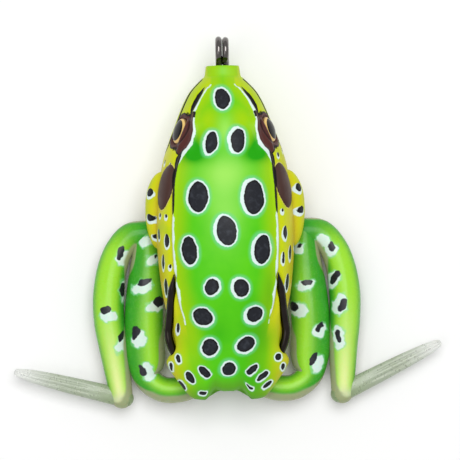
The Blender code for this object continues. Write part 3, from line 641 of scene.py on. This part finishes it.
material, tree, shader = new_finish("cast lead", Metallic=0.85, Roughness=0.55)
place = in_mm(tree)
cast = over(tree, pigment(118, 120, 124), pigment(86, 88, 92), grain(tree, place, 0.8, 4.0))
tree.links.new(cast, shader.inputs["Base Color"])
tree.links.new(spread(tree, grain(tree, place, 2.0), 0.3, 0.7, 0.45, 0.7), shader.inputs["Roughness"])
raise_by(tree, shader, grain(tree, place, 3.0, 4.0), 0.00006, 0.6)
dress("keel_weight", material)

material, tree, shader = new_finish("rattle shell", Roughness=0.12, Transmission_Weight=0.8, IOR=1.5)
place = in_mm(tree)
clear = over(tree, pigment(214, 224, 224), pigment(196, 210, 212), grain(tree, place, 0.6))
tree.links.new(clear, shader.inputs["Base Color"])
tree.links.new(spread(tree, grain(tree, place, 2.0), 0.3, 0.7, 0.08, 0.2), shader.inputs["Roughness"])
for node in ("rattle_tube", "rattle_plug"):
    dress(node, material)

material, tree, shader = new_finish("polished steel", Metallic=1.0, Roughness=0.2)
place = in_mm(tree)
steel = over(tree, pigment(190, 190, 192), pigment(150, 150, 154), grain(tree, place, 1.2))
tree.links.new(steel, shader.inputs["Base Color"])
tree.links.new(spread(tree, grain(tree, place, 4.0), 0.3, 0.7, 0.12, 0.3), shader.inputs["Roughness"])
for node in ("rattle_ball_1", "rattle_ball_2", "rattle_ball_3", "left_hip_pin", "right_hip_pin"):
    dress(node, material)

material, tree, shader = new_finish("socket nylon", Roughness=0.55)
place = in_mm(tree)
nylon = over(tree, pigment(52, 52, 54), pigment(38, 38, 40), grain(tree, place, 0.9))
tree.links.new(nylon, shader.inputs["Base Color"])
raise_by(tree, shader, grain(tree, place, 6.0, 3.0), 0.00002, 0.5)
dress("leg_anchor", material)

material, tree, shader = new_finish("nose sealer", Roughness=0.5, Coat_Weight=0.3, Coat_Roughness=0.2)
place = in_mm(tree)
sealer = over(tree, pigment(196, 206, 150), pigment(150, 190, 70), grain(tree, place, 1.2))
tree.links.new(sealer, shader.inputs["Base Color"])
raise_by(tree, shader, grain(tree, place, 2.5, 3.0), 0.00008, 0.6)
dress("nose_plug", material)

# ---------------------------------------------------------------------------
# Legs. Each is one long moulding in clear soft plastic, folded by its own memory: root, thigh and shin
# are sprayed pearl green from above and spotted, with a painted lime sheen down the middle of each limb
# and a painted highlight on the lower shin, and the bare feet stay milky and clear.
# ---------------------------------------------------------------------------

# (x, y, z, width, thickness) down the leg, mm, on the right side
THIGH = [
    (5.6, -20.2, 4.9, 4.6, 4.6), (8.4, -21.5, 4.8, 4.7, 4.6), (11.9, -21.5, 4.7, 4.7, 4.6),
    (14.6, -19.4, 4.5, 5.0, 4.7), (14.9, -15.8, 4.4, 7.1, 5.2), (15.1, -9.0, 4.4, 7.1, 5.6),
    (14.7, -3.0, 4.4, 6.8, 5.5), (14.4, 2.4, 4.3, 5.5, 4.9), (14.2, 6.8, 4.2, 4.8, 4.4),
]
SHIN = [
    (14.2, 6.8, 4.2, 4.8, 4.4), (17.2, 6.4, 4.2, 4.9, 4.5), (19.4, 3.9, 4.2, 5.1, 4.7),
    (20.75, 0.4, 4.2, 5.4, 5.0), (21.45, -4.4, 4.2, 5.7, 5.3), (21.4, -9.2, 4.2, 5.6, 5.3),
]
CALF = np.array([21.15, -10.8, 4.2])
LOWER_SHIN = [(0.25, 5.3, 5.1), (0.6, 4.8, 4.5), (0.85, 4.3, 4.0), (1.0, 4.0, 3.7)]
ANKLE = {"left": np.array([19.4, -22.9, 3.9]), "right": np.array([20.7, -22.7, 3.9])}
FOOT_RISE = {"left": 14.4, "right": 25.9}
# (distance from the ankle, width, thickness), mm
FOOT = [(-0.6, 3.2, 3.0), (1.6, 3.35, 2.5), (5.0, 3.25, 2.0), (9.5, 3.05, 1.65), (14.0, 2.7, 1.4),
        (17.4, 2.2, 1.15), (19.4, 1.5, 0.9)]
LEG_RING = 64


def limb(stations, per_span, squareness=2.0, toes=0.0):
    """Rings of a soft limb, rounded off at both ends; also how far along and round each point is."""
    path = flowing(stations, per_span)
    middle, half = path[:, :3], path[:, 3:] / 2
    along = np.gradient(middle, axis=0)
    along[:, 2] = 0
    along /= np.linalg.norm(along, axis=1, keepdims=True)
    # Six more rings round off each end.
    cap = np.sin(np.radians([82, 70, 56, 42, 28, 14]))
    shrink = np.sqrt(1 - cap ** 2)[:, None]
    first = middle[0] - cap[:, None] * half[0, 0] * along[0]
    last = middle[-1] + cap[::-1, None] * half[-1, 0] * along[-1]
    middle = np.vstack([first, middle, last])
    half = np.vstack([half[0] * shrink, half, half[-1] * shrink[::-1]])
    along = np.vstack([np.repeat(along[:1], 6, 0), along, np.repeat(along[-1:], 6, 0)])
    round_limb = np.linspace(0, 2 * math.pi, LEG_RING, endpoint=False)
    c, s = np.cos(round_limb), np.sin(round_limb)
    wide = np.sign(c) * np.abs(c) ** (2 / squareness)
    tall = np.sign(s) * np.abs(s) ** (2 / squareness)
    across = np.stack([along[:, 1], -along[:, 0], 0 * along[:, 0]], axis=1)
    points = (middle[:, None] + across[:, None] * (half[:, :1] * wide)[..., None]
              + np.array([0, 0, 1.0]) * (half[:, 1:] * tall)[..., None])
    share = np.linspace(0, 1, len(middle))[:, None] * np.ones(LEG_RING)
    if toes:
        groove = bell(np.abs(wide) - 0.34, 0.13) * (tall > 0)
        points[..., 2] -= toes * groove * ease(share, 0.3, 0.6) * half[:, 1:] * 2
    return points, share, np.ones((len(middle), 1)) * wide, np.ones((len(middle), 1)) * tall


# White (w) and black (b) marks: (kind, x, y, half length, half width, lean), mm
LEG_MARKS = {
    "left_thigh": [
        ("w", -15.3, -2.8, 2.0, 1.1, 25), ("b", -14.9, -1.9, 1.5, 0.6, 16), ("w", -12.9, -6.3, 1.8, 0.9, 10),
        ("b", -12.3, -5.5, 1.0, 0.9, 0), ("w", -16.0, -12.3, 1.4, 1.3, 60), ("b", -16.6, -11.0, 1.3, 0.7, 75),
        ("w", -14.4, -18.2, 1.8, 1.1, 105), ("b", -15.5, -18.0, 1.1, 0.6, 115), ("w", -14.2, 5.5, 1.6, 0.8, 30),
        ("b", -13.7, 6.1, 0.6, 0.4, 30), ("w", -13.3, 2.1, 1.2, 0.9, 20), ("b", -12.6, 2.7, 0.4, 0.3, 0),
    ],
    "left_shin": [
        ("w", -18.6, 2.6, 1.4, 1.3, 80), ("b", -19.0, 3.4, 1.2, 0.7, 70), ("w", -18.4, -3.6, 2.1, 0.9, 95),
        ("b", -18.9, -3.3, 1.4, 0.5, 91), ("w", -21.5, -7.9, 1.7, 1.0, 170), ("b", -22.0, -6.9, 1.1, 0.7, 4),
        ("w", -19.4, -13.3, 1.5, 0.8, 75), ("b", -19.3, -11.8, 1.2, 0.4, 70),
    ],
    "right_thigh": [
        ("w", 14.4, -3.0, 1.8, 0.8, 15), ("b", 14.6, -2.5, 1.0, 0.6, 8), ("w", 12.9, -7.4, 1.7, 1.2, 160),
        ("b", 12.1, -6.8, 0.9, 0.8, 118), ("w", 16.7, -11.2, 1.4, 1.1, 75), ("b", 16.7, -10.5, 1.0, 0.6, 56),
        ("w", 16.2, -17.3, 1.6, 1.0, 75), ("b", 15.5, -16.4, 1.3, 0.6, 66), ("w", 13.4, 3.6, 1.0, 0.8, 90),
        ("b", 13.5, 4.2, 0.5, 0.4, 60),
    ],
    "right_shin": [
        ("w", 17.6, 4.9, 1.3, 1.1, 60), ("w", 19.1, 3.4, 1.2, 1.1, 60), ("b", 19.2, 3.9, 0.9, 0.6, 77),
        ("w", 19.2, -2.1, 1.7, 1.2, 60), ("b", 19.7, -1.6, 1.4, 0.6, 56), ("w", 20.6, -6.6, 1.9, 1.2, 75),
        ("b", 21.0, -6.8, 1.4, 0.7, 60), ("w", 20.2, -12.6, 2.2, 1.0, 92), ("b", 20.1, -12.4, 1.2, 0.5, 95),
    ],
}

# The olive of the unpainted plastic, partly its own colour and partly painted shade: darkened to the shade of the
# crevices where it shows.
bare = pigment(158, 168, 124)
leg_paint, tree, shader = new_finish("pearl leg paint", Roughness=0.4, Coat_Weight=0.15, Coat_Roughness=0.16,
                                     Specular_IOR_Level=0.18, Subsurface_Weight=0.12,
                                     Subsurface_Scale=0.0008)
place = in_mm(tree)
cloud = grain(tree, place, 0.35)
speck = grain(tree, place, 0.75, 1.5)
fleck = grain(tree, place, 9.0, 2.0)
colour = over(tree, pigment(60, 172, 24), pigment(34, 144, 42), cloud)
# Painted sheen: lime down the middle of each limb, with the darker green left at its sides.
colour = over(tree, colour, pigment(156, 222, 50), layer(tree, "lime"))
# Painted highlight: pale yellow-white along the top middle of the lower shin.
colour = over(tree, colour, pigment(238, 244, 168), layer(tree, "pearl"))
colour = over(tree, colour, pigment(214, 250, 150), spread(tree, fleck, 0.56, 0.72, 0.0, 0.22))
edge = ragged(tree, layer(tree, "white"), speck, 0.75)
colour = over(tree, colour, pigment(140, 220, 160), spread(tree, edge, 0.45, 0.0, 0.0, 0.7))
colour = over(tree, colour, pigment(214, 236, 226), spread(tree, edge, 0.12, -0.1))
colour = over(tree, colour, CHARCOAL, spread(tree, ragged(tree, layer(tree, "black"), speck, 0.55), 0.08, -0.08))
colour = over(tree, colour, pigment(206, 216, 172), spread(tree, layer(tree, "fade"), 0.0, 1.0, 0.0, 0.9))
# Where the spray missed, the unpainted plastic shows in its olive, with painted shade.
colour = over(tree, bare, colour, spread(tree, ragged(tree, layer(tree, "cover"), cloud, 0.06), -0.08, 0.16))
tree.links.new(colour, shader.inputs["Base Color"])
tree.links.new(spread(tree, cloud, 0.3, 0.7, 0.22, 0.36), shader.inputs["Roughness"])
raise_by(tree, shader, speck, 0.00003, 0.4)

bare_foot, tree, shader = new_finish("bare foot", Roughness=0.32, Coat_Weight=0.4, Coat_Roughness=0.12,
                                     Transmission_Weight=0.35, IOR=1.42)
place = in_mm(tree)
milk = over(tree, pigment(156, 180, 128), pigment(188, 200, 176), spread(tree, layer(tree, "share"), 0.1, 0.45))
milk = over(tree, milk, pigment(244, 246, 242), spread(tree, layer(tree, "share"), 0.45, 0.9))
milk = over(tree, milk, pigment(150, 158, 118), spread(tree, grain(tree, place, 0.35), 0.5, 0.75, 0.0, 0.25))
tree.links.new(milk, shader.inputs["Base Color"])
tree.links.new(spread(tree, grain(tree, place, 1.5), 0.3, 0.7, 0.25, 0.42), shader.inputs["Roughness"])
raise_by(tree, shader, grain(tree, place, 1.2, 2.0), 0.00002, 0.3)

SPRAY_THIGH = np.array([0.1, 0.42, 0.9])       # the way the paint fell on the right leg, folded
SPRAY_SHIN = np.array([0.45, 0.1, 0.88])
for side_name, sign in (("left", -1), ("right", 1)):
    ankle = ANKLE[side_name]
    rise = math.radians(FOOT_RISE[side_name])
    lower = [(*(CALF + share * (ankle - CALF)), width, thick) for share, width, thick in LOWER_SHIN]
    foot_way = np.array([math.cos(rise), math.sin(rise), -0.004])
    foot = [(*(ankle + distance * foot_way), width, thick) for distance, width, thick in FOOT]
    for part, stations, toes in (("thigh", THIGH, 0), ("shin", SHIN + lower, 0), ("foot", foot, 0.2)):
        points, share, wide, tall = limb(stations, 10, 2.0 if part != "foot" else 2.4, toes)
        points = points * (sign, 1, 1)
        facing = outward(points)
        piece = ring_mesh(f"{side_name}_{part}_skin", points)
        x, y = points[..., 0], points[..., 1]
        marks = {"b": np.full(x.shape, FAR), "w": np.full(x.shape, FAR)}
        for kind, *mark in LEG_MARKS.get(f"{side_name}_{part}", []):
            marks[kind] = np.minimum(marks[kind], np.where(tall > -0.1, oval(x, y, *mark), FAR))
        if part == "foot":
            lay_paint(piece, share=share)
            piece.data.materials.append(bare_foot)
        else:
            turned = facing * (sign, 1, 1)
            if part == "thigh":
                cover = turned @ SPRAY_THIGH - 0.06 - 0.56 * ease(share, 0.46, 0.31)
                cover -= 0.8 * ease(turned[..., 0], 0.35, 0.8) * ease(share, 0.7, 0.82)
                cover -= 0.8 * ease(turned[..., 0], -0.38, -0.66) * ease(share, 0.36, 0.42) * ease(share, 0.62, 0.52)
                # Painted sheen: a lime band across the top of the thigh, strongest from the hip to its middle.
                lime = bell(wide + 0.3, 0.5) * (0.4 + 0.6 * ease(share, 0.85, 0.55))
                pearl = np.zeros_like(lime)
            else:
                need = np.interp(share, [0, 0.12, 0.3, 0.42, 0.55, 0.64, 0.85, 0.93, 1],
                                 [0.3, 0.5, 0.35, -0.4, -0.3, 0.3, 0.5, 0.75, 1.0])
                cover = turned @ SPRAY_SHIN - need
                # Painted sheen: a wide lime band down the top of the shin, with thin dark green edges.
                lime = np.exp(-((wide + 0.1) / 0.78) ** 6) * ease(share, 0.08, 0.3)
                # Painted highlight on the top middle of the shin, growing towards the ankle.
                pearl = 0.85 * bell(wide + 0.1, 0.5) * ease(share, 0.4, 0.85) * (tall > 0)
            lime = lime * (tall > 0)
            fade = ease(share, 0.8, 1.0) * (part == "shin")
            lay_paint(piece, black=marks["b"], white=marks["w"], cover=cover, lime=lime, pearl=pearl, fade=fade)
            piece.data.materials.append(leg_paint)
        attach(piece, f"{side_name}_{part}")
        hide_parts(f"{side_name}_{part}")

# ---------------------------------------------------------------------------
# Table, light and camera. A board painted pale, under one large soft lamp on the nose side and a weak
# fill behind, with a long lens straight above the lure.
# ---------------------------------------------------------------------------

table = bpy.data.meshes.new("table")
table.from_pydata([(-0.8, -0.8, 0), (0.8, -0.8, 0), (0.8, 0.8, 0), (-0.8, 0.8, 0)], [], [(0, 1, 2, 3)])
table_top = bpy.data.objects.new("table", table)
bpy.context.scene.collection.objects.link(table_top)
material, tree, shader = new_finish("table paint", Roughness=0.6)
place = in_mm(tree)
colour = over(tree, pigment(250, 250, 250), pigment(246, 246, 246), grain(tree, place, 0.02))
tree.links.new(colour, shader.inputs["Base Color"])
table.materials.append(material)

world = bpy.data.worlds.new("studio")
world.use_nodes = True
world.node_tree.nodes["Background"].inputs[0].default_value = (1, 1, 1, 1)
world.node_tree.nodes["Background"].inputs[1].default_value = 0.5
bpy.context.scene.world = world
LAMPS = [("nose softbox", 0.42, 2.5, (0.04, 0.16, 0.62)), ("fill", 0.3, 0.3, (-0.25, -0.15, 0.55))]
for name, size, energy, at in LAMPS:           # size in m, power in W, place in m
    lamp = bpy.data.lights.new(name, "AREA")
    lamp.size, lamp.energy = size, energy
    light = bpy.data.objects.new(name, lamp)
    light.location = at
    light.rotation_euler = (Vector((0, 0, 0.01)) - light.location).to_track_quat("-Z", "Y").to_euler()
    bpy.context.scene.collection.objects.link(light)

VIEW_WIDTH, VIEW_HEIGHT_Z = 82.8, 10.0         # mm across the frame, at this height
lens = bpy.data.cameras.new("camera")
lens.lens, lens.sensor_width = 250, 36
camera = bpy.data.objects.new("camera", lens)
lens.clip_end = 5
camera.location = (0.00083, 0.0072, (VIEW_HEIGHT_Z + VIEW_WIDTH * lens.lens / lens.sensor_width) * MM)
camera.rotation_euler = (0, 0, math.radians(-1.07))
bpy.context.scene.collection.objects.link(camera)
bpy.context.scene.camera = camera
bpy.context.scene.view_settings.view_transform = "Standard"
